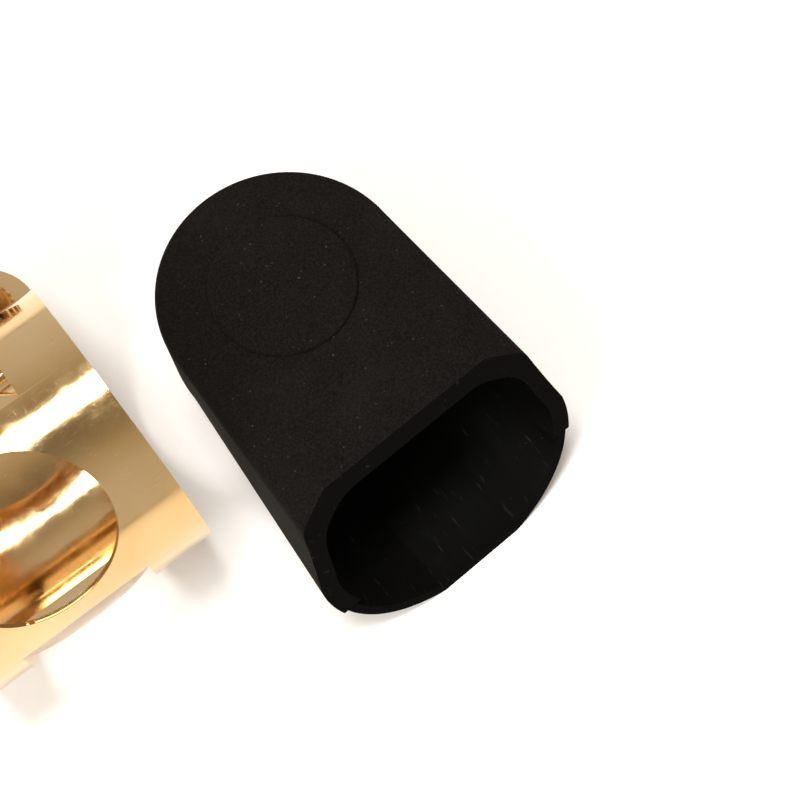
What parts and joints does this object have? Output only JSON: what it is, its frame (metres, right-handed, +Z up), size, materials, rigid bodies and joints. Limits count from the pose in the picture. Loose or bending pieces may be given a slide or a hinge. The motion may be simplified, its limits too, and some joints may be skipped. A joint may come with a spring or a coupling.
{
  "type": "saxophone ligature",
  "caption": "Polished metal band that clamps a reed to a saxophone mouthpiece with thumbscrews, with its matching rubber beak cap.",
  "frame": {"origin": "centre of the clamping bore, half way along the band", "axes": "+X along the bore towards the reed's tip, +Z up, away from the surface that the band and the cap stand on"},
  "size_m": [0.0559, 0.0509, 0.0258],
  "materials": {
    "polished_gold": "polished gold lacquer",
    "turned_gold": "turned and plated",
    "threaded_gold": "rolled thread, plated",
    "knurled_gold": "fluted grip, polished top",
    "matte_black_rubber": "velvety soft touch",
    "smooth_black_rubber": "satin"
  },
  "bodies": {
    "band": {"band": "polished_gold", "front_guide_bush": "turned_gold", "front_threaded_post": "turned_gold", "rear_guide_bush": "turned_gold", "rear_threaded_post": "turned_gold"},
    "front_washer": {"front_washer": "turned_gold"},
    "front_screw": {"front_screw_shank": "threaded_gold", "front_screw_head": "knurled_gold"},
    "rear_washer": {"rear_washer": "turned_gold"},
    "rear_screw": {"rear_screw_shank": "threaded_gold", "rear_screw_head": "knurled_gold"},
    "cap": {"cap_roof": "matte_black_rubber", "cap_shell": "smooth_black_rubber", "cap_disc": "matte_black_rubber"}
  },
  "joints": [
    {"name": "front_screw_travel", "type": "slide", "parent": "band", "child": "front_washer", "axis": [0, 0.247, 0.969], "range_m": [0, 0.0024]},
    {"name": "front_screw_turn", "type": "hinge", "parent": "front_washer", "child": "front_screw", "pos_m": [0.0062, 0.018, 0.00057], "axis": [0, 0.247, 0.969], "range_deg": [0, 1440]},
    {"name": "rear_screw_travel", "type": "slide", "parent": "band", "child": "rear_washer", "axis": [0, 0.247, 0.969], "range_m": [0, 0.0024]},
    {"name": "rear_screw_turn", "type": "hinge", "parent": "rear_washer", "child": "rear_screw", "pos_m": [-0.0062, 0.018, 0.00057], "axis": [0, 0.247, 0.969], "range_deg": [0, 1440]},
    {"name": "cap_lift", "type": "slide", "parent": "band", "child": "cap", "axis": [0, 0, 1], "range_m": [0, 0.05]}
  ],
  "couplings": [
    {"joint": "front_screw_turn", "follows": "front_screw_travel", "rad_per_m": 10472},
    {"joint": "rear_screw_turn", "follows": "rear_screw_travel", "rad_per_m": 10472}
  ]
}
